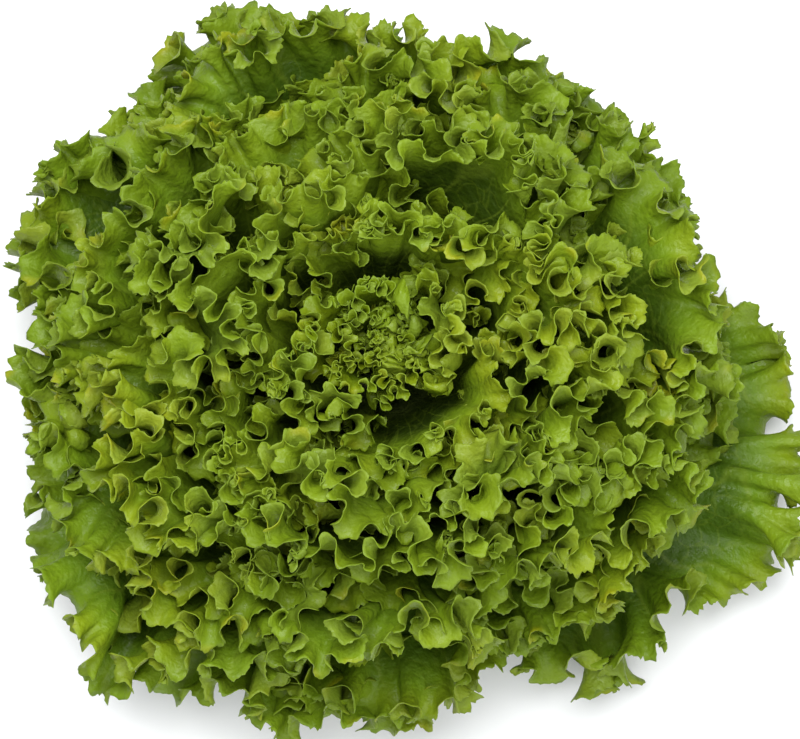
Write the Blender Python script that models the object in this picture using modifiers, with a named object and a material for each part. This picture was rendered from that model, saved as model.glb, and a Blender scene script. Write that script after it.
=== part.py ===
"""A head of curly leaf lettuce, standing on its cut stem.

Its leaves spring from the stem in a golden-angle spiral. Each leaf lies on a layer of
its own, a bowl-shaped surface of revolution round the stem, and the layers nest one
inside the next, so that no leaf crosses another. All the layers bulge out alike on some
sides, as the head isn't quite round. The smallest leaves, round the growing point, are
one body: the heart. Metres, +Z up, origin at the centre of the cut stem.
"""

import math
import random
from dataclasses import dataclass

import bmesh
import bpy
from mathutils import Vector

# Stem: a stubby cone, cut square at the foot
STEM_FOOT_RADIUS = 0.019
STEM_TOP_RADIUS = 0.006
STEM_HEIGHT = 0.066
STEM_CUT_BEVEL = 0.0015
STEM_SIDES = 28
STEM_RINGS = 5

# Where the leaves' tips lie: a flat top that falls off at the rim, hollow over the heart
INNER_TIP_RADIUS = 0.026
RIM_RADIUS = 0.137
TOP_HEIGHT = 0.132
RIM_HEIGHT = 0.030
FALL_POWER = 3
HOLLOW_DEPTH = 0.020
HOLLOW_RADIUS = 0.036

# How the rim bulges round the axis: waves round, share of the radius, a crest's azimuth
BULGES = (
    (1, 0.040, math.radians(217)),
    (2, 0.050, math.radians(156)),
    (3, 0.045, math.radians(107)),
)

# The spiral of separate leaves, from the oldest to the youngest
SEPARATE_LEAVES = 30
GOLDEN_ANGLE = math.pi * (3 - math.sqrt(5))
FIRST_AZIMUTH = math.radians(-23)
OLDEST_ROOT_HEIGHT = 0.012
YOUNGEST_ROOT_HEIGHT = 0.061
YOUNGEST_BEND = math.radians(-15)
MIDDLE_BEND = math.radians(-26)
OUTER_BEND = math.radians(42)
OUTER_BEND_POWER = 3
LEAST_SIZE = 0.88
LARGEST_SIZE = 1.06
AZIMUTH_SHIFT = math.radians(7)

# One leaf
ROOT_HALF_ANGLE = math.radians(28)
LEAF_HALF_ANGLE = math.radians(53)
MARGIN_SWEEP = math.radians(104)
WIDEST_AT = 0.56
BLADE_THICKNESS = 0.0012
RIB_THICKNESS = 0.0034
RIB_SHARE = 0.5
TOUCHING_GAP = 0.0003
LEAF_ROWS = (0.0, 0.45, 0.73, 0.89, 1.0)

# Slow swells run through all the leaves alike, so that neighbours rise together
SWELLS_ROUND = 14
SWELL_DRIFT = 6.0
OLDEST_SWELL = 0.0055
YOUNGEST_SWELL = 0.0020
SWELL_REACH_POWER = 1.6

# Ruffles at the margin, with one column of vertices on each crest and in each trough
OLDEST_RUFFLE = 0.0066
YOUNGEST_RUFFLE = 0.0040
OLDEST_COLUMNS = 28
YOUNGEST_COLUMNS = 14
LEAST_RUFFLE_SHARE = 0.65
RUFFLE_UP_POWER = 2.2
RUFFLE_REACH_POWER = 1.5
RUFFLE_SIDE_POWER = 8
FLARE_SHARE = 0.8
TOOTH = 0.03

# Heart: small leaves rooted in a core on the top of the stem
HEART_LEAVES = 10
HEART_CORE_RADIUS = 0.0058
HEART_CORE_HEIGHT = 0.022
HEART_OUTER_TIP_RADIUS = 0.021
HEART_INNER_TIP_RADIUS = 0.003
HEART_TIP_HEIGHT = 0.116
HEART_TIP_STEP = 0.0009
HEART_ROOT_RADIUS = 0.0048
HEART_OUTER_ROOT_HEIGHT = 0.071
HEART_INNER_ROOT_HEIGHT = 0.084
HEART_BEND = math.radians(-10)
HEART_RUFFLE = 0.0018
HEART_COLUMNS = 8
HEART_ROWS = (0.0, 0.6, 1.0)

# Linear colours
OLDEST_GREEN = (0.085, 0.19, 0.012)
YOUNGEST_GREEN = (0.21, 0.33, 0.030)
HEART_GREEN = (0.26, 0.36, 0.042)
STEM_WHITE = (0.62, 0.66, 0.36)
LEAF_ROUGHNESS = 0.42
STEM_ROUGHNESS = 0.5

SEED = 17


def mix(start, end, share):
    return start + (end - start) * share


def bulge(azimuth):
    """The share by which the rim on this side lies further out than a round rim would."""
    return sum(share * math.cos(waves * (azimuth - crest)) for waves, share, crest in BULGES)


@dataclass
class Layer:
    """A circular arc in the plane of radius and height, from a leaf's root to its tip.

    Bend is the angle between the arc's ends and its chord: above 0 the leaf arches
    over, and below 0 it cups upwards.
    """

    root: Vector
    tip: Vector
    bend: float

    def slope(self, reach):
        """The angle above the horizontal at a share of the arc's length."""
        chord = self.tip - self.root
        return math.atan2(chord.y, chord.x) + self.bend * (1 - 2 * reach)

    def point(self, reach):
        """Radius and height at a share of the arc's length."""
        arc_radius = (self.tip - self.root).length / (2 * math.sin(self.bend))
        start = self.slope(0)
        here = self.slope(reach)
        run = math.sin(start) - math.sin(here)
        rise = math.cos(here) - math.cos(start)
        return self.root + arc_radius * Vector((run, rise))


@dataclass
class Leaf:
    azimuth: float
    layer: Layer
    size: float
    swell: float
    swell_phase: float
    ruffle: float
    columns: int
    rows: tuple
    rib_thickness: float
    rng: random.Random

    def point(self, across, up, ruffle):
        """A point of the blade, pushed off its layer by its share of the ruffle.

        Across runs from -1 to 1 between the sides, and up from 0 at the root to 1 at
        the margin. The margin is a wide arch from one side to the other.
        """
        sweep = MARGIN_SWEEP * across
        margin_turn = self.size * LEAF_HALF_ANGLE * math.sin(sweep)
        margin_reach = self.size * (WIDEST_AT + (1 - WIDEST_AT) * math.cos(sweep))
        azimuth = self.azimuth + mix(ROOT_HALF_ANGLE * across, margin_turn, up)
        reach = up * margin_reach
        slope = self.layer.slope(reach)
        radius, height = self.layer.point(reach)
        swell = math.sin(SWELLS_ROUND * azimuth + self.swell_phase)
        swell *= self.swell * reach**SWELL_REACH_POWER
        ruffle *= up**RUFFLE_UP_POWER * reach**RUFFLE_REACH_POWER
        lift = swell + ruffle - FLARE_SHARE * self.ruffle * reach**4
        radius -= lift * math.sin(slope)
        height += lift * math.cos(slope)
        radius *= 1 + bulge(azimuth) * (radius / RIM_RADIUS) ** 2
        return Vector((radius * math.cos(azimuth), radius * math.sin(azimuth), height))


def clear_scene():
    for obj in list(bpy.data.objects):
        bpy.data.objects.remove(obj)


def new_collection(name):
    collection = bpy.data.collections.new(name)
    bpy.context.scene.collection.children.link(collection)
    return collection


def plant_material(name, colour, roughness):
    material = bpy.data.materials.new(name)
    material.use_nodes = True
    shader = material.node_tree.nodes["Principled BSDF"]
    shader.inputs["Base Color"].default_value = (*colour, 1)
    shader.inputs["Roughness"].default_value = roughness
    shader.inputs["Metallic"].default_value = 0
    return material


def add_object(name, mesh, collection, material):
    mesh.materials.append(material)
    obj = bpy.data.objects.new(name, mesh)
    collection.objects.link(obj)
    return obj


def stem_radius(height):
    return mix(STEM_FOOT_RADIUS, STEM_TOP_RADIUS, (height / STEM_HEIGHT) ** 2)


def make_stem(collection):
    """The stem, turned from a profile that runs down its outer side."""
    heights = [STEM_HEIGHT * ring / STEM_RINGS for ring in range(STEM_RINGS, 0, -1)]
    profile = [(0, STEM_HEIGHT)]
    profile += [(stem_radius(height), height) for height in heights]
    profile += [(STEM_FOOT_RADIUS, STEM_CUT_BEVEL)]
    profile += [(STEM_FOOT_RADIUS - STEM_CUT_BEVEL, 0), (0, 0)]
    mesh = bpy.data.meshes.new("stem")
    vertices = [(radius, 0, height) for radius, height in profile]
    edges = [(i, i + 1) for i in range(len(profile) - 1)]
    mesh.from_pydata(vertices, edges, [])
    material = plant_material("stem", STEM_WHITE, STEM_ROUGHNESS)
    stem = add_object("stem", mesh, collection, material)
    screw = stem.modifiers.new("turn", "SCREW")
    screw.steps = STEM_SIDES
    screw.render_steps = STEM_SIDES
    screw.use_merge_vertices = True
    screw.merge_threshold = 0.00001
    return stem


def ruffle_heights(leaf):
    """How far each column of the margin stands off the layer: crest, trough, crest.

    The ruffle fades out at the leaf's two lower corners, where the columns lie close.
    """
    heights = []
    for column in range(leaf.columns + 1):
        side = 1 if column % 2 else -1
        across = 2 * column / leaf.columns - 1
        height = leaf.rng.uniform(LEAST_RUFFLE_SHARE, 1) * leaf.ruffle
        heights.append(side * height * (1 - across**RUFFLE_SIDE_POWER))
    return heights


def make_leaf(name, leaf, collection, material):
    """A ruffled blade: a grid bent to the leaf's shape and thickened at its rib."""
    bm = bmesh.new()
    last_row = len(leaf.rows) - 1
    bmesh.ops.create_grid(bm, x_segments=leaf.columns, y_segments=last_row, size=1)
    ruffles = ruffle_heights(leaf)
    rib_weights = []
    for vertex in bm.verts:
        across = vertex.co.x
        column = round((across + 1) / 2 * leaf.columns)
        row = round((vertex.co.y + 1) / 2 * last_row)
        up = leaf.rows[row]
        rib_weights.append(max(0, 1 - abs(across) / RIB_SHARE) * (1 - up) ** 0.7)
        if row == last_row:
            up += leaf.rng.uniform(-TOOTH, TOOTH)
        vertex.co = leaf.point(across, up, ruffles[column])
    bmesh.ops.triangulate(bm, faces=bm.faces, quad_method="ALTERNATE")
    mesh = bpy.data.meshes.new(name)
    bm.to_mesh(mesh)
    bm.free()
    obj = add_object(name, mesh, collection, material)
    rib = obj.vertex_groups.new(name="rib")
    for index, weight in enumerate(rib_weights):
        rib.add([index], weight, "REPLACE")
    solidify = obj.modifiers.new("thickness", "SOLIDIFY")
    solidify.thickness = leaf.rib_thickness
    solidify.offset = 0
    solidify.vertex_group = rib.name
    solidify.thickness_vertex_group = BLADE_THICKNESS / leaf.rib_thickness
    return obj


def separate_leaf(order):
    """The leaf at this place in the spiral, from 0, the oldest and outermost."""
    age = 1 - order / (SEPARATE_LEAVES - 1)
    tip_radius = mix(INNER_TIP_RADIUS, RIM_RADIUS, age)
    hollow = HOLLOW_DEPTH * math.exp(-((tip_radius / HOLLOW_RADIUS) ** 2))
    tip_height = mix(TOP_HEIGHT, RIM_HEIGHT, age**FALL_POWER) - hollow
    root_height = mix(YOUNGEST_ROOT_HEIGHT, OLDEST_ROOT_HEIGHT, age)
    root = Vector((stem_radius(root_height) + TOUCHING_GAP, root_height))
    bend = YOUNGEST_BEND + MIDDLE_BEND * age + OUTER_BEND * age**OUTER_BEND_POWER
    layer = Layer(root, Vector((tip_radius, tip_height)), bend)
    layer.root.x += RIB_THICKNESS / 2 * math.sin(max(0, layer.slope(0)))
    pairs = round(mix(YOUNGEST_COLUMNS, OLDEST_COLUMNS, age) / 2)
    rng = random.Random(SEED + order)
    azimuth_shift = rng.uniform(-AZIMUTH_SHIFT, AZIMUTH_SHIFT)
    return Leaf(
        azimuth=FIRST_AZIMUTH + order * GOLDEN_ANGLE + azimuth_shift,
        layer=layer,
        size=rng.uniform(LEAST_SIZE, LARGEST_SIZE),
        swell=mix(YOUNGEST_SWELL, OLDEST_SWELL, age),
        swell_phase=SWELL_DRIFT * age,
        ruffle=mix(YOUNGEST_RUFFLE, OLDEST_RUFFLE, age),
        columns=2 * pairs,
        rows=LEAF_ROWS,
        rib_thickness=RIB_THICKNESS,
        rng=rng,
    )


def heart_leaf(order):
    """One of the small leaves round the growing point, rooted inside the core."""
    share = order / (HEART_LEAVES - 1)
    tip_radius = mix(HEART_OUTER_TIP_RADIUS, HEART_INNER_TIP_RADIUS, share)
    tip = Vector((tip_radius, HEART_TIP_HEIGHT - order * HEART_TIP_STEP))
    root_height = mix(HEART_OUTER_ROOT_HEIGHT, HEART_INNER_ROOT_HEIGHT, share)
    root = Vector((mix(HEART_ROOT_RADIUS, HEART_ROOT_RADIUS / 3, share), root_height))
    return Leaf(
        azimuth=(SEPARATE_LEAVES + order) * GOLDEN_ANGLE,
        layer=Layer(root, tip, HEART_BEND),
        size=1,
        swell=0,
        swell_phase=0,
        ruffle=HEART_RUFFLE,
        columns=HEART_COLUMNS,
        rows=HEART_ROWS,
        rib_thickness=BLADE_THICKNESS,
        rng=random.Random(SEED + SEPARATE_LEAVES + order),
    )


def keep_outer_shell(mesh):
    """Drops every shell but the largest: the walls of sealed hollows, and loose scraps."""
    bm = bmesh.new()
    bm.from_mesh(mesh)
    left = set(bm.faces)
    shells = []
    while left:
        shell = set()
        front = {left.pop()}
        while front:
            shell |= front
            edges = {edge for face in front for edge in face.edges}
            front = {face for edge in edges for face in edge.link_faces} - shell
        left -= shell
        shells.append(shell)
    largest = max(shells, key=len)
    scraps = [face for face in bm.faces if face not in largest]
    bmesh.ops.delete(bm, geom=scraps, context="FACES")
    bm.to_mesh(mesh)
    bm.free()


def make_heart(collection):
    """The heart: small leaves joined to a core that stands on the stem."""
    material = plant_material("heart", HEART_GREEN, LEAF_ROUGHNESS)
    pieces = new_collection("heart_pieces")
    for order in range(HEART_LEAVES):
        make_leaf(f"heart_piece_{order + 1:02d}", heart_leaf(order), pieces, material)
    bm = bmesh.new()
    bmesh.ops.create_uvsphere(bm, u_segments=12, v_segments=8, radius=1)
    half_height = HEART_CORE_HEIGHT / 2
    for vertex in bm.verts:
        vertex.co.x *= HEART_CORE_RADIUS
        vertex.co.y *= HEART_CORE_RADIUS
        vertex.co.z = vertex.co.z * half_height + half_height
        vertex.co.z += STEM_HEIGHT + TOUCHING_GAP
    mesh = bpy.data.meshes.new("heart_core")
    bm.to_mesh(mesh)
    bm.free()
    core = add_object("heart_core", mesh, pieces, material)
    pieces.objects.unlink(core)
    bpy.context.scene.collection.objects.link(core)
    union = core.modifiers.new("join", "BOOLEAN")
    union.operation = "UNION"
    union.operand_type = "COLLECTION"
    union.collection = pieces
    union.solver = "MANIFOLD"
    graph = bpy.context.evaluated_depsgraph_get()
    joined = bpy.data.meshes.new_from_object(core.evaluated_get(graph))
    joined.name = "heart"
    keep_outer_shell(joined)
    for piece in list(pieces.objects) + [core]:
        bpy.data.objects.remove(piece)
    bpy.data.collections.remove(pieces)
    heart = bpy.data.objects.new("heart", joined)
    collection.objects.link(heart)
    return heart


def main():
    clear_scene()
    lettuce = new_collection("curly_lettuce")
    make_stem(lettuce)
    make_heart(lettuce)
    for order in range(SEPARATE_LEAVES):
        age = 1 - order / (SEPARATE_LEAVES - 1)
        pairs = zip(YOUNGEST_GREEN, OLDEST_GREEN)
        green = [mix(young, old, age) for young, old in pairs]
        name = f"leaf_{order + 1:02d}"
        material = plant_material(name, green, LEAF_ROUGHNESS)
        make_leaf(name, separate_leaf(order), lettuce, material)


main()
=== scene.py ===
"""The looks of a head of curly leaf lettuce that stands on its cut stem.

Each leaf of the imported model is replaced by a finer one, which lies on the same layer
round the stem. Its blade is folded several times over: broad folds first, then the curls
of its margin across them, whose lips turn outwards, and small crinkles across the lips.
Last, the margin is cut into pointed lobes and teeth. Metres, +Z up.
"""

import math
import random
from collections import namedtuple

import bpy
import numpy as np
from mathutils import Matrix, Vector


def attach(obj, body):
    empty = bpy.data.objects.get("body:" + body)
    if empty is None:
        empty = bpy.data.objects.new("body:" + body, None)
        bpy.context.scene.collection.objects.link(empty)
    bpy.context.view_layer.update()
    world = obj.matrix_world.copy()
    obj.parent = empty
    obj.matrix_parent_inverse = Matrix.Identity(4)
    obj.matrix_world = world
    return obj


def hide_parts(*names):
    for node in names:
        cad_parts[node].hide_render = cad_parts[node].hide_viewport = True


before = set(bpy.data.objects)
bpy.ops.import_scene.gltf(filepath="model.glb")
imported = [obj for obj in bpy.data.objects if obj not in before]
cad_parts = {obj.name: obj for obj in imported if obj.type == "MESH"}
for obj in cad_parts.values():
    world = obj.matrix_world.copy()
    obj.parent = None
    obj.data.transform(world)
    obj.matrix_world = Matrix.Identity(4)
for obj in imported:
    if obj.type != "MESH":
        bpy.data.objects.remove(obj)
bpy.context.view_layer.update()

# The head's form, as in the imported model
STEM_FOOT_RADIUS = 0.019
STEM_TOP_RADIUS = 0.006
STEM_HEIGHT = 0.066
INNER_TIP_RADIUS = 0.026
RIM_RADIUS = 0.137
TOP_HEIGHT = 0.132
RIM_HEIGHT = 0.030
FALL_POWER = 3
HOLLOW_DEPTH = 0.020
HOLLOW_RADIUS = 0.036
BULGES = (
    (1, 0.040, math.radians(217)),
    (2, 0.050, math.radians(156)),
    (3, 0.045, math.radians(107)),
)
SEPARATE_LEAVES = 30
GOLDEN_ANGLE = math.pi * (3 - math.sqrt(5))
FIRST_AZIMUTH = math.radians(-23)
OLDEST_ROOT_HEIGHT = 0.012
YOUNGEST_ROOT_HEIGHT = 0.061
YOUNGEST_BEND = math.radians(-15)
MIDDLE_BEND = math.radians(-26)
OUTER_BEND = math.radians(42)
OUTER_BEND_POWER = 3
LEAST_SIZE = 0.88
LARGEST_SIZE = 1.06
AZIMUTH_SHIFT = math.radians(7)
ROOT_HALF_ANGLE = math.radians(28)
LEAF_HALF_ANGLE = math.radians(53)
MARGIN_SWEEP = math.radians(104)
WIDEST_AT = 0.56
TOUCHING_GAP = 0.0003
SWELLS_ROUND = 14
SWELL_DRIFT = 6.0
OLDEST_SWELL = 0.0055
YOUNGEST_SWELL = 0.0020
SWELL_REACH_POWER = 1.6
OLDEST_RUFFLE = 0.0066
YOUNGEST_RUFFLE = 0.0040
FLARE_SHARE = 0.8
FLARE_REACH_POWER = 4
SEED = 17

# The heart's leaves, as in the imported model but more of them
HEART_PLACES = 10
HEART_LEAVES = 13
HEART_OUTER_TIP_RADIUS = 0.021
HEART_INNER_TIP_RADIUS = 0.0015
HEART_TIP_HEIGHT = 0.116
HEART_TIP_STEP = 0.0009
HEART_SINK = 0.005
HEART_ROOT_RADIUS = 0.0048
HEART_ROOT_NARROWING = 3
HEART_OUTER_ROOT_HEIGHT = 0.071
HEART_INNER_ROOT_HEIGHT = 0.084
HEART_BEND = math.radians(-10)

# Leaves between two of the model's: the places in the spiral that they keep between
LEAST_BETWEEN_ORDER = 3
LAST_BETWEEN_ORDER = 27

# What each kind of leaf adds to its number to seed its random draws
BETWEEN_SEED = 1000
FOLD_SEED = 100
HEART_FOLD_SEED = 200

# Slow drifts that shift all leaves alike, so that the rings of leaves aren't regular
DRIFTS = 7
DRIFT_SIZE = 0.0026
DRIFT_LENGTHS = (0.042, 0.085)
DRIFT_RISES = (-0.5, 0.5)
DRIFT_PHASES = (0, 6.28)
DRIFT_RADII = (0.02, 0.055)
DRIFT_HEIGHTS = (0.005, 0.03)
DRIFT_SEED = 5

# The curls' wavelength
OLDEST_CURL = 0.0152
YOUNGEST_CURL = 0.0096
HEART_OUTER_CURL = 0.0062
HEART_INNER_CURL = 0.0026

# Folds: length and depth as shares of a curl's length, steepest angle, and the range of
# strengths between which they change along the margin
Folds = namedtuple("Folds", "length depth angle strengths")
BROAD_FOLDS = (
    Folds(4.5, 5.0, math.radians(38), (0.65, 1.2)),
    Folds(1.9, 3.8, math.radians(73), (0.65, 1.2)),
)
CURL_FOLDS = Folds(1.0, 1.8, math.radians(80), (0.45, 1.1))
CRINKLE_FOLDS = Folds(0.60, 0.55, math.radians(56), (0.0, 1.05))
LEAST_CRINKLED_CURL = 0.0065
WAVE_STRETCHES = (0.5, 1.6)
STRENGTH_SPACING = 1.3
REACH_SPACING = 2
REACHES = (0.7, 1.3)
MOST_REACH_SHARE = 0.6
FOLD_POWER = 1.4
FOLD_BLUR_SHARE = 0.6
LEAST_MEAN_COSINE = 0.42
SIDE_FADE_POWER = 8

# Curls are calmer where broad folds have already crowded the margin
CALM_START = 1.7
CALM_FALL = 0.4
LEAST_CALM = 0.4

# The blade's lean inwards or outwards near its margin
LEAN_SHARE = 1.9
LEAN_SPACING = 2.2
LEANS = (math.radians(-28), math.radians(24))

# The curls' lips: how far in from the margin they turn, and how far over
LIP_SHARE = 0.85
LIP_DEPTH_SPACING = 1.5
LIP_DEPTHS = (0.55, 1.35)
LIP_TURN_OUT = math.radians(74)
LIP_TURN_IN = math.radians(46)
LIP_TURN_SPACING = 1.2
LIP_TURNS = (0.5, 1.15)
LIP_RISE_SHARE = 0.3

# Slow lobes in the margin: spacing as a share of a curl's length, and lowest and highest
MARGIN_LOBES = ((4.0, -0.009, 0.003), (1.6, -0.003, 0.003))
MARGIN_LOBE_POWER = 6

# Pointed lobes cut into the folded margin, and teeth on them
POINT_SHARE = 0.14
POINT_SPACING = 0.6
POINT_STEPS = (0.25, 0.85)
NOTCH_ENDS = (-1, 0)
POINT_ENDS = (0.2, 1)
LOBE_ROWS = 5
TOOTH_SHARE = 0.058
TOOTH_ENDS = (-0.6, 1.0)
TOOTH_SIZE_SPACING = 2.2
TOOTH_SIZES = (0.2, 1.5)

# The height below which leaves are kept off the floor
FLOOR_ZONE = 0.003

# The sheet's points
MARGIN_SAMPLES = 400
FINE_COLUMNS_A_CURL = 48
MARGIN_SPACING = 0.00145
HEART_OUTER_SPACING = 0.0013
HEART_INNER_SPACING = 0.0008
COLUMNS_A_RADIAN = 1.5
ROW_COUNT = 13
FIRST_ROW_SHARE = 0.085
MOST_EVEN_SHARE = 0.6
ROW_POWER = 3
ROW_STRIDES = (1, 2, 2, 4, 4, 4, 4, 8, 8, 8, 16, 16, 16)

# The blade's thickness, and the midrib's
BLADE_THICKNESS = 0.00025
RIB_THICKNESS = 0.0034
HEART_RIB_THICKNESS = 0.0008
RIB_HALF_WIDTH = 0.3
RIB_TAPER_POWER = 0.8
LEAST_RIB_WEIGHT = 0.001

# Leaf colours
OLDEST_GREEN = (0.152, 0.246, 0.009)
YOUNGEST_GREEN = (0.186, 0.268, 0.010)
HEART_GREEN = (0.150, 0.225, 0.005)
VEIN_GREEN = (0.18, 0.26, 0.02)
OUTER_FACE_GREEN = (0.170, 0.250, 0.016)
OUTER_VEIN_GREEN = (0.19, 0.27, 0.03)
# A painted highlight that lightens the margin's edge
EDGE_HIGHLIGHT_GREEN = (0.17, 0.27, 0.015)
ROOT_GREEN = (0.24, 0.32, 0.07)
MARGIN_YELLOW = (0.36, 0.34, 0.006)

# Tints that a leaf's green is multiplied by
DARK_TINT = (0.83, 0.83, 0.83)
YELLOW_TINT = (1.28, 1.10, 1)
# Painted shade: the inner tint darkens the green a little below the margin, the deep one much
# more between the leaves
INNER_SHADE_TINT = (0.92, 0.99, 1)
DEEP_SHADE_TINT = (0.8, 1, 1.5)

# How much of the green's brightness the painted shade leaves deep between the leaves
OLDEST_SHADE_SHARE = 0.46
YOUNGEST_SHADE_SHARE = 0.16
HEART_SHADE_SHARE = 0.3
OUTER_FACE_SHADE_SHARE = 0.20

# Depths below the margin, and shares of the way up the leaf, between which colours change
# Depths of the painted shade, a little below the margin and deep between the leaves
INNER_SHADE_DEPTHS = (0.002, 0.016)
DEEP_SHADE_DEPTHS = (0.007, 0.028)
SPOT_DEPTHS = (0.0035, 0.0005)
# Depth of the painted highlight along the margin's edge
EDGE_HIGHLIGHT_DEPTHS = (0.0004, 0.0)
ROOT_SHARES = (0.35, 0.05)

# Noise in leaf tissue: waves a metre, and the range of its values that is used
MOTTLE_SCALE = 90
MOTTLE_RANGE = (0.38, 0.62)
PATCH_SCALE = 22
PATCH_RANGE = (0.45, 0.7)
SPOT_SCALE = 60
SPOT_RANGE = (0.60, 0.74)
GLOSS_SCALE = 400
GLOSS_RANGE = (0.35, 0.65)
GRAIN_SCALE = 360

# Leaf tissue's veins: ribs that fan out from the root, and a network between them
RIBS_A_HALF_BLADE = 7.0
RIB_BEND_SCALE = 45
RIB_BEND = 1.2
RIB_RANGE = (0.07, 0.0)
NETWORK_SCALE = 120
NETWORK_BEND_SCALE = 150
NETWORK_BEND = 0.006
NETWORK_RANGE = (0.07, 0.0)
NETWORK_SHARE = 0.55
VEIN_SHARE = 0.4

# Leaf tissue's surface
SPOT_SHARE = 0.45
# How strong the painted highlight along the margin's edge is
EDGE_HIGHLIGHT_SHARE = 0.3
LEAF_ROUGHNESS = (0.34, 0.5)
LEAF_SPECULAR = 0.22
GRAIN_STRENGTH = 0.8
GRAIN_HEIGHT = 0.0012
LIGHT_THROUGH_SHARE = 0.14

# Stem tissue
STEM_PALE = (0.62, 0.66, 0.42)
STEM_FIBRE = (0.50, 0.58, 0.30)
STEM_TOP_GREEN = (0.10, 0.17, 0.02)
STEM_SCAR = (0.40, 0.36, 0.18)
CUT_BROWN = (0.30, 0.15, 0.06)
FIBRE_SCALE = 900
FIBRE_SQUEEZE = 0.06
FIBRE_RANGE = (0.35, 0.65)
GREEN_HEIGHTS = (0.03, 0.066)
SCAR_SCALE = 160
SCAR_RANGE = (0.56, 0.62)
SCAR_SHARE = 0.5
BROWN_SCALE = 70
BROWN_RANGE = (0.30, 0.65)
LEAST_BROWN = 0.35
CUT_HEIGHTS = (0.0015, 0.0004)
STEM_GLOSS_RANGE = (0.3, 0.7)
STEM_ROUGHNESS = (0.45, 0.65)
FIBRE_STRENGTH = 0.6
FIBRE_HEIGHT = 0.0005

# The studio
FLOOR_SIZE = 6
FLOOR_COLOUR = (0.85, 0.86, 0.87, 1)
FLOOR_ROUGHNESS = 0.9
SKY_COLOUR = (0.97, 0.98, 1, 1)
SKY_STRENGTH = 0.52
LIT_POINT = (0, 0, 0.05)
KEY_SIZE = 0.9
KEY_POWER = 20
KEY_PLACE = (-0.1, 0.27, 1.15)
FILL_SIZE = 1.2
FILL_POWER = 11
FILL_PLACE = (0.45, -0.85, 0.95)
CAMERA_ELEVATION = math.radians(80)
CAMERA_DISTANCE = 1.1
CAMERA_AIM = (0.0075, -0.0015, 0.055)
FRAME_WIDTH = 0.2725
SENSOR_WIDTH_MM = 36


def mix(start, end, share):
    return start + (end - start) * share


def ramp(start, end, value):
    """A smooth step from 0 at the start to 1 at the end."""
    share = np.clip((value - start) / (end - start), 0, 1)
    return share * share * (3 - 2 * share)


def bulge(azimuth):
    """The share by which the rim on this side lies further out than a round rim would."""
    return sum(share * np.cos(waves * (azimuth - crest)) for waves, share, crest in BULGES)


def stem_radius(height):
    return mix(STEM_FOOT_RADIUS, STEM_TOP_RADIUS, (height / STEM_HEIGHT) ** 2)


def make_drifts():
    """Slow waves through space, each with its direction, its push and its phase."""
    rng = random.Random(DRIFT_SEED)
    drifts = []
    for _ in range(DRIFTS):
        wave_azimuth = rng.uniform(0, 2 * math.pi)
        wave_number = 2 * math.pi / rng.uniform(*DRIFT_LENGTHS)
        push_azimuth = rng.uniform(0, 2 * math.pi)
        wave = (math.cos(wave_azimuth), math.sin(wave_azimuth), rng.uniform(*DRIFT_RISES))
        push = (math.cos(push_azimuth), math.sin(push_azimuth), rng.uniform(*DRIFT_RISES))
        phase = rng.uniform(*DRIFT_PHASES)
        drifts.append((wave_number * np.array(wave), DRIFT_SIZE * np.array(push), phase))
    return drifts


DRIFT_WAVES = make_drifts()


def drifted(points):
    """The points shifted by the drifts, which fade out towards the stem and the floor."""
    shift = 0
    for wave, push, phase in DRIFT_WAVES:
        shift = shift + np.sin(points @ wave + phase)[..., None] * push
    radius = np.hypot(points[..., 0], points[..., 1])
    fade = ramp(*DRIFT_RADII, radius) * ramp(*DRIFT_HEIGHTS, points[..., 2])
    return points + shift * fade[..., None]


def kept_off_floor(points):
    """The points with those near or below the floor raised a little over it."""
    height = points[..., 2]
    raised = FLOOR_ZONE * np.exp(np.minimum(height / FLOOR_ZONE - 1, 0))
    points[..., 2] = np.where(height < FLOOR_ZONE, raised, height)
    return points


class Leaf:
    """A blade on its layer, a bowl-shaped surface of revolution round the stem."""

    def __init__(self, azimuth, root, tip, bend, size, swell=0, swell_phase=0, flare=0):
        self.azimuth = azimuth
        self.root = np.array(root)
        self.tip = np.array(tip)
        self.bend = bend
        self.size = size
        self.swell = swell
        self.swell_phase = swell_phase
        self.flare = flare

    def slope(self, reach):
        run, rise = self.tip - self.root
        return math.atan2(rise, run) + self.bend * (1 - 2 * reach)

    def length(self):
        return self.size * math.hypot(*(self.tip - self.root)) * self.bend / math.sin(self.bend)

    def surface(self, across, up):
        """Points of the unfolded blade: across from -1 to 1, and up from root to margin."""
        sweep = MARGIN_SWEEP * across
        margin_turn = self.size * LEAF_HALF_ANGLE * np.sin(sweep)
        margin_reach = self.size * (WIDEST_AT + (1 - WIDEST_AT) * np.cos(sweep))
        azimuth = self.azimuth + mix(ROOT_HALF_ANGLE * across, margin_turn, up)
        reach = up * margin_reach
        chord = math.hypot(*(self.tip - self.root))
        arc_radius = chord / (2 * math.sin(self.bend))
        start = self.slope(0)
        slope = self.slope(reach)
        radius = self.root[0] + arc_radius * (math.sin(start) - np.sin(slope))
        height = self.root[1] + arc_radius * (np.cos(slope) - math.cos(start))
        swell = self.swell * np.sin(SWELLS_ROUND * azimuth + self.swell_phase)
        lift = swell * reach**SWELL_REACH_POWER - self.flare * reach**FLARE_REACH_POWER
        radius = radius - lift * np.sin(slope)
        height = height + lift * np.cos(slope)
        radius = radius * (1 + bulge(azimuth) * (radius / RIM_RADIUS) ** 2)
        return np.stack([radius * np.cos(azimuth), radius * np.sin(azimuth), height], -1)


def unit(vectors):
    return vectors / np.maximum(np.linalg.norm(vectors, axis=-1, keepdims=True), 1e-12)


def travelled(line):
    """The way along a line of points up to each of them."""
    steps = np.linalg.norm(np.diff(line, axis=0), axis=1)
    return np.concatenate([[0], np.cumsum(steps)])


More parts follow.
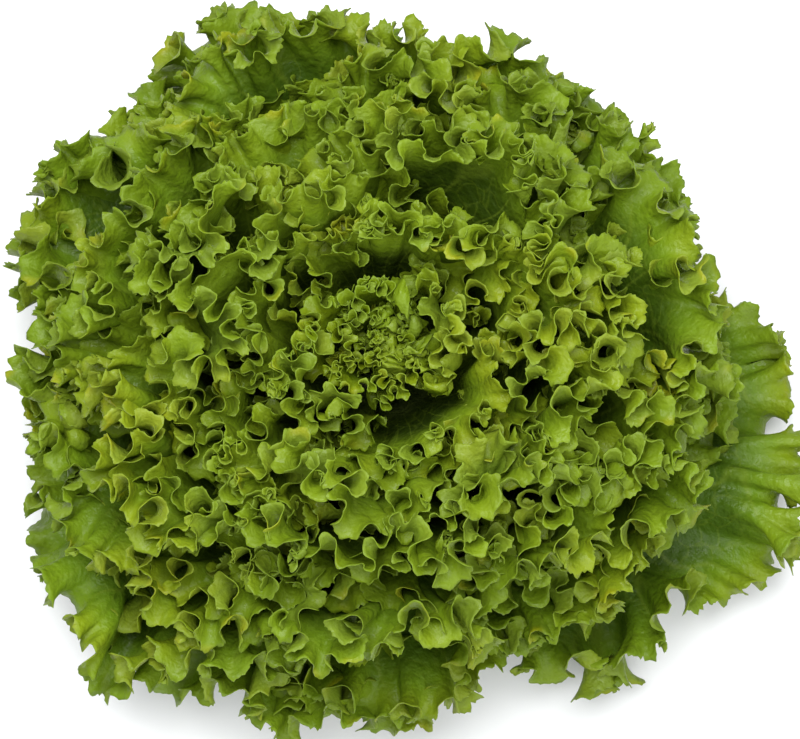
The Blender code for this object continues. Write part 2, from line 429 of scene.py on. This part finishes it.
def blurred(rows, width):
    """Each row smoothed by a bell curve of this many columns."""
    half = int(3 * width) + 1
    bell = np.exp(-0.5 * (np.arange(-half, half + 1) / width) ** 2)
    bell /= bell.sum()
    padded = np.pad(rows, ((0, 0), (half, half)), mode="edge")
    return np.stack([np.convolve(row, bell, mode="valid") for row in padded])


def running_total(steps):
    return np.concatenate([np.zeros((len(steps), 1)), np.cumsum(steps, axis=1)], axis=1)


def wave_phase(way, wavelength, rng):
    """The phase, at each place on the way, of waves whose lengths vary."""
    ends = [rng.uniform(-1, 0) * wavelength]
    while ends[-1] < way[-1]:
        ends.append(ends[-1] + wavelength * rng.uniform(*WAVE_STRETCHES))
    return np.interp(way, ends, 2 * math.pi * np.arange(len(ends)))


def slow_noise(way, wavelength, low, high, rng):
    """A smooth random share at each place on the way, between low and high."""
    knots = [rng.uniform(low, high) for _ in range(int(way[-1] / wavelength) + 3)]
    place = way / wavelength
    knot = place.astype(int)
    heights = np.array(knots)
    return mix(heights[knot], heights[knot + 1], ramp(0, 1, place - knot))


def sheet_frame(points):
    """Unit vectors at each point of a sheet: along its row, and off its outer face."""
    tangent = unit(np.gradient(points, axis=1))
    inward = np.gradient(points, axis=0)
    return tangent, unit(np.cross(inward, tangent))


def fold(points, turn, blur_width):
    """Lays a sheet in folds: its rows wind left and right of where they ran.

    Turn is the angle between each place on a row and the row as it ran. The row grows in
    length as it winds, so that it keeps its ends. Also gives how far each point went.
    """
    step = np.linalg.norm(np.diff(points, axis=1), axis=2)
    middle = (turn[:, 1:] + turn[:, :-1]) / 2
    growth = 1 / np.maximum(blurred(np.cos(middle), blur_width), LEAST_MEAN_COSINE)
    forward = running_total(step * (growth * np.cos(middle) - 1))
    sideways = running_total(step * growth * np.sin(middle))
    forward -= blurred(forward, blur_width)
    sideways -= blurred(sideways, blur_width)
    tangent, normal = sheet_frame(points)
    return points + forward[..., None] * tangent + sideways[..., None] * normal, sideways


def turn_lips(points, depth, lip_depth, turn):
    """Bends the sheet over near its margin, by this turn at each column's end."""
    normal = sheet_frame(points)[1]
    turned = points.copy()
    for row in range(len(points) - 2, -1, -1):
        angle = turn * np.clip(1 - depth[row] / lip_depth, 0, 1)
        step = points[row] - points[row + 1]
        length = np.linalg.norm(step, axis=1)[:, None]
        bent = np.cos(angle)[:, None] * step + np.sin(angle)[:, None] * length * normal[row]
        turned[row] = turned[row + 1] + bent
    return turned


def wave_turn(points, depth, folds, curl, side_fade, rng):
    """The turning angles of one set of folds, and its blur width in columns."""
    wavelength = folds.length * curl
    way = travelled(points[0])
    strength = slow_noise(way, STRENGTH_SPACING * wavelength, *folds.strengths, rng) * side_fade
    reach = folds.depth * curl * slow_noise(way, REACH_SPACING * wavelength, *REACHES, rng)
    reach = np.minimum(reach, MOST_REACH_SHARE * depth[-1])
    profile = np.clip(1 - depth / reach, 0, 1) ** FOLD_POWER
    turn = folds.angle * profile * strength * np.sin(wave_phase(way, wavelength, rng))
    return turn, FOLD_BLUR_SHARE * wavelength / way[-1] * len(way)


def points_between_notches(way, spacing, rng):
    """A margin of pointed lobes: 1 at each point, and down to -1 in the notches between."""
    ends = [-rng.uniform(0, 1) * spacing]
    heights = [1]
    while ends[-1] < way[-1]:
        for low, high in (NOTCH_ENDS, POINT_ENDS):
            ends.append(ends[-1] + spacing * rng.uniform(*POINT_STEPS))
            heights.append(rng.uniform(low, high))
    return np.interp(way, ends, heights)


def lobed(up, way, curl, leaf_length, rng):
    """The rows' places with slow lobes in the margin."""
    lobes = 0
    for spacing, lowest, highest in MARGIN_LOBES:
        lobes = lobes + slow_noise(way, spacing * curl, lowest, highest, rng)
    return up + lobes / leaf_length * up**MARGIN_LOBE_POWER


def margin_steps(points):
    return np.linalg.norm(np.gradient(points[:1], axis=1), axis=2)


def flat_sheet(leaf, curl, rng):
    """The unfolded blade's points, with each one's places across and up the leaf.

    Also gives each column's way along the margin.
    """
    margin = np.linspace(-1, 1, MARGIN_SAMPLES)
    way = travelled(leaf.surface(margin, np.ones_like(margin)))
    columns = int(way[-1] / curl * FINE_COLUMNS_A_CURL)
    place = np.linspace(0, way[-1], columns)
    share = np.linspace(0, 1, ROW_COUNT)
    even_share = FIRST_ROW_SHARE * curl * (ROW_COUNT - 1) / leaf.length()
    even_share = min(MOST_EVEN_SHARE, even_share)
    up = 1 - even_share * share - (1 - even_share) * share**ROW_POWER
    across, up = np.meshgrid(np.interp(place, way, margin), up)
    points = drifted(leaf.surface(across, lobed(up, place, curl, leaf.length(), rng)))
    return points, across, up, place


def with_lips(points, depth, sideways, place, curl, rng):
    """Turns over the lips of the curls that went this far sideways."""
    lobe = np.tanh(sideways[0] / (LIP_RISE_SHARE * curl))
    lobe = lobe * slow_noise(place, LIP_TURN_SPACING * curl, *LIP_TURNS, rng)
    lip_turn = np.where(lobe > 0, LIP_TURN_OUT, LIP_TURN_IN) * lobe
    lip_depth = LIP_SHARE * curl * slow_noise(place, LIP_DEPTH_SPACING * curl, *LIP_DEPTHS, rng)
    return turn_lips(points, depth, lip_depth, lip_turn)


def fine_sheet(leaf, curl, rng):
    """The folded blade as many rows and columns of points.

    Each point comes with its places across and up the leaf and its depth below the margin.
    """
    points, across, up, place = flat_sheet(leaf, curl, rng)
    depth = np.linalg.norm(np.diff(points, axis=0), axis=2)
    depth = np.concatenate([np.zeros((1, len(place))), np.cumsum(depth, axis=0)])
    side_fade = 1 - across[0] ** SIDE_FADE_POWER
    plain_steps = margin_steps(points)
    for folds in BROAD_FOLDS:
        turn, blur = wave_turn(points, depth, folds, curl, side_fade, rng)
        points = fold(points, turn, blur)[0]
    crowding = blurred(margin_steps(points) / plain_steps, FINE_COLUMNS_A_CURL / 2)[0]
    calmed = side_fade * np.clip(CALM_START - CALM_FALL * crowding, LEAST_CALM, 1)
    lean = slow_noise(place, LEAN_SPACING * curl, *LEANS, rng) * side_fade
    points = turn_lips(points, depth, LEAN_SHARE * curl, lean)
    turn, blur = wave_turn(points, depth, CURL_FOLDS, curl, calmed, rng)
    points, sideways = fold(points, turn, blur)
    points = with_lips(points, depth, sideways, place, curl, rng)
    if curl > LEAST_CRINKLED_CURL:
        turn, blur = wave_turn(points, depth, CRINKLE_FOLDS, curl, calmed, rng)
        points = fold(points, turn, blur)[0]
    points = kept_off_floor(points)
    return np.concatenate([points, across[..., None], up[..., None], depth[..., None]], -1)


def resampled(sheet, spacing):
    """The sheet with its columns chosen anew: this far apart on its margin, closer in bends."""
    margin = sheet[0, :, :3]
    steps = np.diff(margin, axis=0)
    lengths = np.linalg.norm(steps, axis=1)
    bends = np.linalg.norm(np.diff(unit(steps), axis=0), axis=1)
    columns = lengths / spacing + COLUMNS_A_RADIAN * np.append(bends, 0)
    way = np.concatenate([[0], np.cumsum(columns)])
    stride = max(ROW_STRIDES)
    count = stride * max(2, round(way[-1] / stride)) + 1
    place = np.interp(np.linspace(0, way[-1], count), way, np.arange(len(way)))
    left = np.minimum(place.astype(int), len(way) - 2)
    share = (place - left)[None, :, None]
    return mix(sheet[:, left], sheet[:, left + 1], share)


def leaf_sheet(leaf, curl, spacing, rng):
    """The folded blade, its margin cut into pointed lobes and teeth."""
    sheet = resampled(fine_sheet(leaf, curl, rng), spacing)
    way = travelled(sheet[0, :, :3])
    lobes = POINT_SHARE * curl * points_between_notches(way, POINT_SPACING * curl, rng)
    teeth = np.array([rng.uniform(*TOOTH_ENDS) for _ in way])
    tooth_size = slow_noise(way, TOOTH_SIZE_SPACING * curl, *TOOTH_SIZES, rng)
    teeth *= TOOTH_SHARE * curl * tooth_size
    outward = unit(sheet[:LOBE_ROWS, :, :3] - sheet[1 : LOBE_ROWS + 1, :, :3])
    for row in range(LOBE_ROWS):
        sheet[row, :, :3] += outward[row] * (lobes * (1 - row / LOBE_ROWS))[:, None]
    sheet[0, :, :3] += outward[0] * teeth[:, None]
    return sheet


def sheet_faces(columns):
    """Quads between rows of columns, and triangles where the columns thin out."""
    faces = []
    for row in range(ROW_COUNT - 1):
        outer = row * columns + np.arange(0, columns, ROW_STRIDES[row])
        inner = (row + 1) * columns + np.arange(0, columns, ROW_STRIDES[row + 1])
        if len(outer) == len(inner):
            faces += np.stack([outer[:-1], inner[:-1], inner[1:], outer[1:]], 1).tolist()
            continue
        left, middle, right = outer[:-2:2], outer[1::2], outer[2::2]
        faces += np.stack([left, inner[:-1], middle], 1).tolist()
        faces += np.stack([inner[:-1], inner[1:], middle], 1).tolist()
        faces += np.stack([middle, inner[1:], right], 1).tolist()
    return faces


def mesh_from_sheet(name, sheet):
    """A mesh of the sheet's used points, and their values, one row a point."""
    rows, columns = sheet.shape[:2]
    faces = sheet_faces(columns)
    used = np.unique(np.concatenate([np.array(face) for face in faces]))
    place = np.full(rows * columns, -1)
    place[used] = np.arange(len(used))
    mesh = bpy.data.meshes.new(name)
    values = sheet.reshape(rows * columns, -1)[used]
    mesh.from_pydata(values[:, :3].tolist(), [], [place[face].tolist() for face in faces])
    mesh.shade_smooth()
    for label, column in zip(("across", "up", "depth"), values[:, 3:].T):
        layer = mesh.attributes.new(label, "FLOAT", "POINT")
        layer.data.foreach_set("value", column.astype(np.float32))
    return mesh, values


def new_material(name):
    material = bpy.data.materials.new(name)
    material.use_nodes = True
    tree = material.node_tree
    return material, tree, tree.nodes["Principled BSDF"]


def attribute_node(tree, name):
    node = tree.nodes.new("ShaderNodeAttribute")
    node.attribute_name = name
    return node.outputs["Fac"]


def place_node(tree):
    """The place in the piece, in metres."""
    return tree.nodes.new("ShaderNodeTexCoord").outputs["Object"]


def range_node(tree, value, start, end, low=0.0, high=1.0):
    """A value between start and end mapped smoothly to one between low and high."""
    node = tree.nodes.new("ShaderNodeMapRange")
    node.interpolation_type = "SMOOTHSTEP"
    node.inputs["From Min"].default_value = start
    node.inputs["From Max"].default_value = end
    node.inputs["To Min"].default_value = low
    node.inputs["To Max"].default_value = high
    tree.links.new(value, node.inputs["Value"])
    return node.outputs["Result"]


def noise_node(tree, scale, detail=2.0):
    node = tree.nodes.new("ShaderNodeTexNoise")
    node.inputs["Scale"].default_value = scale
    node.inputs["Detail"].default_value = detail
    tree.links.new(place_node(tree), node.inputs["Vector"])
    return node.outputs["Fac"]


def math_node(tree, operation, *values):
    """An operation's result; each value is a number or another node's output."""
    node = tree.nodes.new("ShaderNodeMath")
    node.operation = operation
    for socket, value in zip(node.inputs, values):
        if isinstance(value, float):
            socket.default_value = value
        else:
            tree.links.new(value, socket)
    return node.outputs[0]


def blend_node(tree, share, first, second):
    """Two colours mixed by a share; each is a colour or another node's output."""
    node = tree.nodes.new("ShaderNodeMix")
    node.data_type = "RGBA"
    tree.links.new(share, node.inputs["Factor"])
    for socket, colour in (("A", first), ("B", second)):
        if isinstance(colour, tuple):
            node.inputs[socket].default_value = (*colour, 1)
        else:
            tree.links.new(colour, node.inputs[socket])
    return node.outputs["Result"]


def bump_node(tree, height, strength, distance):
    node = tree.nodes.new("ShaderNodeBump")
    node.inputs["Strength"].default_value = strength
    node.inputs["Distance"].default_value = distance
    tree.links.new(height, node.inputs["Height"])
    return node.outputs["Normal"]


def network_node(tree):
    """Nearness to the network of small veins."""
    bend = tree.nodes.new("ShaderNodeTexNoise")
    bend.inputs["Scale"].default_value = NETWORK_BEND_SCALE
    bend.inputs["Detail"].default_value = 0
    tree.links.new(place_node(tree), bend.inputs["Vector"])
    shift = tree.nodes.new("ShaderNodeVectorMath")
    shift.operation = "MULTIPLY_ADD"
    shift.inputs[1].default_value = (NETWORK_BEND, NETWORK_BEND, NETWORK_BEND)
    tree.links.new(bend.outputs["Color"], shift.inputs[0])
    tree.links.new(place_node(tree), shift.inputs[2])
    cells = tree.nodes.new("ShaderNodeTexVoronoi")
    cells.feature = "DISTANCE_TO_EDGE"
    cells.inputs["Scale"].default_value = NETWORK_SCALE
    tree.links.new(shift.outputs["Vector"], cells.inputs["Vector"])
    return range_node(tree, cells.outputs["Distance"], *NETWORK_RANGE, 0.0, NETWORK_SHARE)


def vein_node(tree):
    """Nearness to a vein: ribs that fan out from the root, and a network between them."""
    bend = math_node(tree, "MULTIPLY", noise_node(tree, RIB_BEND_SCALE, 0.0), RIB_BEND)
    ribs = math_node(tree, "MULTIPLY", attribute_node(tree, "across"), RIBS_A_HALF_BLADE)
    ribs = math_node(tree, "ADD", ribs, bend)
    ribs = range_node(tree, math_node(tree, "PINGPONG", ribs, 0.5), *RIB_RANGE)
    return math_node(tree, "MAXIMUM", ribs, network_node(tree))


def tinted(green, tint, share=1):
    return tuple(tone * share * channel for tone, channel in zip(tint, green))


def leaf_colour(tree, green, vein_green, shade_share):
    """Mottled and veined green, paler at the root, with painted shade that darkens it below the
    margin and between the leaves, and a painted highlight that lightens the margin.
    """
    mottle = range_node(tree, noise_node(tree, MOTTLE_SCALE), *MOTTLE_RANGE)
    colour = blend_node(tree, mottle, tinted(green, DARK_TINT), green)
    patches = range_node(tree, noise_node(tree, PATCH_SCALE), *PATCH_RANGE)
    colour = blend_node(tree, patches, colour, tinted(green, YELLOW_TINT))
    depth = attribute_node(tree, "depth")
    # Painted shade: a little darker below the margin, much darker deep between the leaves
    inner = range_node(tree, depth, *INNER_SHADE_DEPTHS)
    colour = blend_node(tree, inner, colour, tinted(green, INNER_SHADE_TINT))
    deep_shade = range_node(tree, depth, *DEEP_SHADE_DEPTHS)
    colour = blend_node(tree, deep_shade, colour, tinted(green, DEEP_SHADE_TINT, shade_share))
    veins = math_node(tree, "MULTIPLY", vein_node(tree), VEIN_SHARE)
    colour = blend_node(tree, veins, colour, vein_green)
    near_root = range_node(tree, attribute_node(tree, "up"), *ROOT_SHARES)
    colour = blend_node(tree, near_root, colour, ROOT_GREEN)
    near_margin = range_node(tree, depth, *SPOT_DEPTHS)
    spots = range_node(tree, noise_node(tree, SPOT_SCALE, 1.0), *SPOT_RANGE, 0.0, SPOT_SHARE)
    spots = math_node(tree, "MULTIPLY", near_margin, spots)
    colour = blend_node(tree, spots, colour, MARGIN_YELLOW)
    # Painted highlight along the margin's edge
    edge = range_node(tree, depth, *EDGE_HIGHLIGHT_DEPTHS, 0.0, EDGE_HIGHLIGHT_SHARE)
    return blend_node(tree, edge, colour, EDGE_HIGHLIGHT_GREEN)


def leaf_material(name, green, vein_green, shade_share):
    """Leaf tissue, with a fine grain and a little light shining through it."""
    material, tree, shader = new_material(name)
    colour = leaf_colour(tree, green, vein_green, shade_share)
    tree.links.new(colour, shader.inputs["Base Color"])
    gloss = noise_node(tree, GLOSS_SCALE, 0.0)
    gloss = range_node(tree, gloss, *GLOSS_RANGE, *LEAF_ROUGHNESS)
    tree.links.new(gloss, shader.inputs["Roughness"])
    shader.inputs["Specular IOR Level"].default_value = LEAF_SPECULAR
    grain = bump_node(tree, noise_node(tree, GRAIN_SCALE), GRAIN_STRENGTH, GRAIN_HEIGHT)
    tree.links.new(grain, shader.inputs["Normal"])
    through = tree.nodes.new("ShaderNodeBsdfTranslucent")
    tree.links.new(colour, through.inputs["Color"])
    blend = tree.nodes.new("ShaderNodeMixShader")
    blend.inputs[0].default_value = LIGHT_THROUGH_SHARE
    tree.links.new(shader.outputs[0], blend.inputs[1])
    tree.links.new(through.outputs[0], blend.inputs[2])
    tree.links.new(blend.outputs[0], tree.nodes["Material Output"].inputs["Surface"])
    return material


def stem_material():
    """Stem tissue: pale with fine fibres, greener at its top, and browned on its cut face."""
    material, tree, shader = new_material("stem_tissue")
    squeeze = tree.nodes.new("ShaderNodeVectorMath")
    squeeze.operation = "MULTIPLY"
    squeeze.inputs[1].default_value = (1, 1, FIBRE_SQUEEZE)
    tree.links.new(place_node(tree), squeeze.inputs[0])
    noise = tree.nodes.new("ShaderNodeTexNoise")
    noise.inputs["Scale"].default_value = FIBRE_SCALE
    tree.links.new(squeeze.outputs["Vector"], noise.inputs["Vector"])
    fibres = noise.outputs["Fac"]
    axes = tree.nodes.new("ShaderNodeSeparateXYZ")
    tree.links.new(place_node(tree), axes.inputs["Vector"])
    height = axes.outputs["Z"]
    colour = blend_node(tree, range_node(tree, fibres, *FIBRE_RANGE), STEM_PALE, STEM_FIBRE)
    colour = blend_node(tree, range_node(tree, height, *GREEN_HEIGHTS), colour, STEM_TOP_GREEN)
    scars = range_node(tree, noise_node(tree, SCAR_SCALE, 3.0), *SCAR_RANGE, 0.0, SCAR_SHARE)
    colour = blend_node(tree, scars, colour, STEM_SCAR)
    browned = noise_node(tree, BROWN_SCALE, 3.0)
    browned = range_node(tree, browned, *BROWN_RANGE, LEAST_BROWN, 1.0)
    on_cut = range_node(tree, height, *CUT_HEIGHTS)
    browned = math_node(tree, "MULTIPLY", on_cut, browned)
    colour = blend_node(tree, browned, colour, CUT_BROWN)
    tree.links.new(colour, shader.inputs["Base Color"])
    gloss = range_node(tree, fibres, *STEM_GLOSS_RANGE, *STEM_ROUGHNESS)
    tree.links.new(gloss, shader.inputs["Roughness"])
    relief = bump_node(tree, fibres, FIBRE_STRENGTH, FIBRE_HEIGHT)
    tree.links.new(relief, shader.inputs["Normal"])
    return material


def add_leaf(name, leaf, curl, spacing, materials, rng, rib_thickness=RIB_THICKNESS):
    """A leaf's piece: its folded sheet, thickened, and most of all along its midrib."""
    mesh, values = mesh_from_sheet(name, leaf_sheet(leaf, curl, spacing, rng))
    for material in materials:
        mesh.materials.append(material)
    piece = bpy.data.objects.new(name, mesh)
    bpy.context.scene.collection.objects.link(piece)
    across, up = values[:, 3], values[:, 4]
    rib_weights = np.clip(1 - np.abs(across) / RIB_HALF_WIDTH, 0, 1) * (1 - up) ** RIB_TAPER_POWER
    rib = piece.vertex_groups.new(name="rib")
    for index in np.flatnonzero(rib_weights > LEAST_RIB_WEIGHT):
        rib.add([int(index)], float(rib_weights[index]), "REPLACE")
    solidify = piece.modifiers.new("thickness", "SOLIDIFY")
    solidify.thickness = rib_thickness
    solidify.offset = 0
    solidify.vertex_group = rib.name
    solidify.thickness_vertex_group = BLADE_THICKNESS / rib_thickness
    solidify.material_offset = 1
    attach(piece, "root")
    return piece


def separate_leaf(order, draw):
    """A leaf at this place in the spiral, which may lie between two of the model's."""
    age = 1 - order / (SEPARATE_LEAVES - 1)
    tip_radius = mix(INNER_TIP_RADIUS, RIM_RADIUS, age)
    hollow = HOLLOW_DEPTH * math.exp(-((tip_radius / HOLLOW_RADIUS) ** 2))
    tip_height = mix(TOP_HEIGHT, RIM_HEIGHT, age**FALL_POWER) - hollow
    root_height = mix(YOUNGEST_ROOT_HEIGHT, OLDEST_ROOT_HEIGHT, age)
    shift = draw.uniform(-AZIMUTH_SHIFT, AZIMUTH_SHIFT)
    leaf = Leaf(
        azimuth=FIRST_AZIMUTH + order * GOLDEN_ANGLE + shift,
        root=(stem_radius(root_height) + TOUCHING_GAP, root_height),
        tip=(tip_radius, tip_height),
        bend=YOUNGEST_BEND + MIDDLE_BEND * age + OUTER_BEND * age**OUTER_BEND_POWER,
        size=draw.uniform(LEAST_SIZE, LARGEST_SIZE),
        swell=mix(YOUNGEST_SWELL, OLDEST_SWELL, age),
        swell_phase=SWELL_DRIFT * age,
        flare=FLARE_SHARE * mix(YOUNGEST_RUFFLE, OLDEST_RUFFLE, age),
    )
    leaf.root[0] += RIB_THICKNESS / 2 * math.sin(max(0, leaf.slope(0)))
    return leaf


def heart_leaf(place):
    """One of the tiny leaves at the growing point; place runs from the outermost, 0, to 1."""
    order = place * (HEART_PLACES - 1)
    inner_root_radius = HEART_ROOT_RADIUS / HEART_ROOT_NARROWING
    tip_radius = mix(HEART_OUTER_TIP_RADIUS, HEART_INNER_TIP_RADIUS, place)
    root_radius = mix(HEART_ROOT_RADIUS, inner_root_radius, place)
    root_height = mix(HEART_OUTER_ROOT_HEIGHT, HEART_INNER_ROOT_HEIGHT, place)
    azimuth = (SEPARATE_LEAVES + place * HEART_LEAVES) * GOLDEN_ANGLE
    tip = (tip_radius, HEART_TIP_HEIGHT - order * HEART_TIP_STEP - HEART_SINK * place)
    return Leaf(azimuth, (root_radius, root_height), tip, HEART_BEND, 1)


def add_spiral_leaf(half_order, outer_face):
    """A leaf of the spiral: one of the model's at an even number, one between at an odd."""
    order = half_order / 2
    between = half_order % 2 == 1
    number = int(order) + 1
    age = 1 - order / (SEPARATE_LEAVES - 1)
    green = tuple(mix(young, old, age) for young, old in zip(YOUNGEST_GREEN, OLDEST_GREEN))
    # How much brightness the painted shade leaves deep between the leaves
    shade_share = mix(YOUNGEST_SHADE_SHARE, OLDEST_SHADE_SHARE, age)
    if between:
        name = f"between_leaf_{number:02d}"
        draw = random.Random(SEED + BETWEEN_SEED + number)
        leaf = separate_leaf(max(order, LEAST_BETWEEN_ORDER), draw)
        leaf.azimuth = FIRST_AZIMUTH + order * GOLDEN_ANGLE + math.pi
    else:
        name = f"curly_leaf_{number:02d}"
        draw = random.Random(SEED + number - 1)
        leaf = separate_leaf(order, draw)
    curl = mix(YOUNGEST_CURL, OLDEST_CURL, age)
    materials = [outer_face, leaf_material(name, green, VEIN_GREEN, shade_share)]
    rng = random.Random(FOLD_SEED + half_order)
    piece = add_leaf(name, leaf, curl, MARGIN_SPACING, materials, rng)
    if not between:
        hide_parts(f"leaf_{number:02d}")


def add_heart_leaf(number, materials):
    place = number / (HEART_LEAVES - 1)
    curl = mix(HEART_OUTER_CURL, HEART_INNER_CURL, place)
    spacing = mix(HEART_OUTER_SPACING, HEART_INNER_SPACING, place)
    name = f"heart_leaf_{number + 1:02d}"
    rng = random.Random(HEART_FOLD_SEED + number)
    leaf = heart_leaf(place)
    piece = add_leaf(name, leaf, curl, spacing, materials, rng, HEART_RIB_THICKNESS)
    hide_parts("heart")


def add_floor():
    bpy.ops.mesh.primitive_plane_add(size=FLOOR_SIZE, location=(0, 0, 0))
    floor = bpy.context.object
    floor.name = "floor"
    paper = bpy.data.materials.new("floor")
    paper.use_nodes = True
    shader = paper.node_tree.nodes["Principled BSDF"]
    shader.inputs["Base Color"].default_value = FLOOR_COLOUR
    shader.inputs["Roughness"].default_value = FLOOR_ROUGHNESS
    floor.data.materials.append(paper)


def add_sky():
    world = bpy.data.worlds.new("studio")
    bpy.context.scene.world = world
    world.use_nodes = True
    background = world.node_tree.nodes["Background"]
    background.inputs["Color"].default_value = SKY_COLOUR
    background.inputs["Strength"].default_value = SKY_STRENGTH


def add_light(name, size, power, place):
    light = bpy.data.lights.new(name, "AREA")
    light.size = size
    light.energy = power
    lamp = bpy.data.objects.new(name, light)
    bpy.context.scene.collection.objects.link(lamp)
    lamp.location = place
    lamp.rotation_mode = "QUATERNION"
    aim = Vector(LIT_POINT) - Vector(place)
    lamp.rotation_quaternion = aim.to_track_quat("-Z", "Y")


def add_camera():
    camera = bpy.data.objects.new("camera", bpy.data.cameras.new("camera"))
    bpy.context.scene.collection.objects.link(camera)
    back = Vector((0, -math.cos(CAMERA_ELEVATION), math.sin(CAMERA_ELEVATION)))
    camera.location = Vector(CAMERA_AIM) + CAMERA_DISTANCE * back
    camera.rotation_mode = "QUATERNION"
    camera.rotation_quaternion = (-back).to_track_quat("-Z", "Y")
    camera.data.sensor_width = SENSOR_WIDTH_MM
    camera.data.lens = SENSOR_WIDTH_MM * CAMERA_DISTANCE / FRAME_WIDTH
    bpy.context.scene.camera = camera


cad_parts["stem"].data.materials[0] = stem_material()

outer_face = leaf_material(
    "outer_face", OUTER_FACE_GREEN, OUTER_VEIN_GREEN, OUTER_FACE_SHADE_SHARE
)
for half_order in range(2 * SEPARATE_LEAVES - 1):
    if half_order % 2 == 0 or half_order / 2 <= LAST_BETWEEN_ORDER:
        add_spiral_leaf(half_order, outer_face)

heart_face = leaf_material("heart_face", HEART_GREEN, VEIN_GREEN, HEART_SHADE_SHARE)
for number in range(HEART_LEAVES):
    add_heart_leaf(number, [outer_face, heart_face])

add_floor()
add_sky()
add_light("key", KEY_SIZE, KEY_POWER, KEY_PLACE)
add_light("fill", FILL_SIZE, FILL_POWER, FILL_PLACE)
add_camera()
bpy.context.scene.view_settings.view_transform = "Standard"
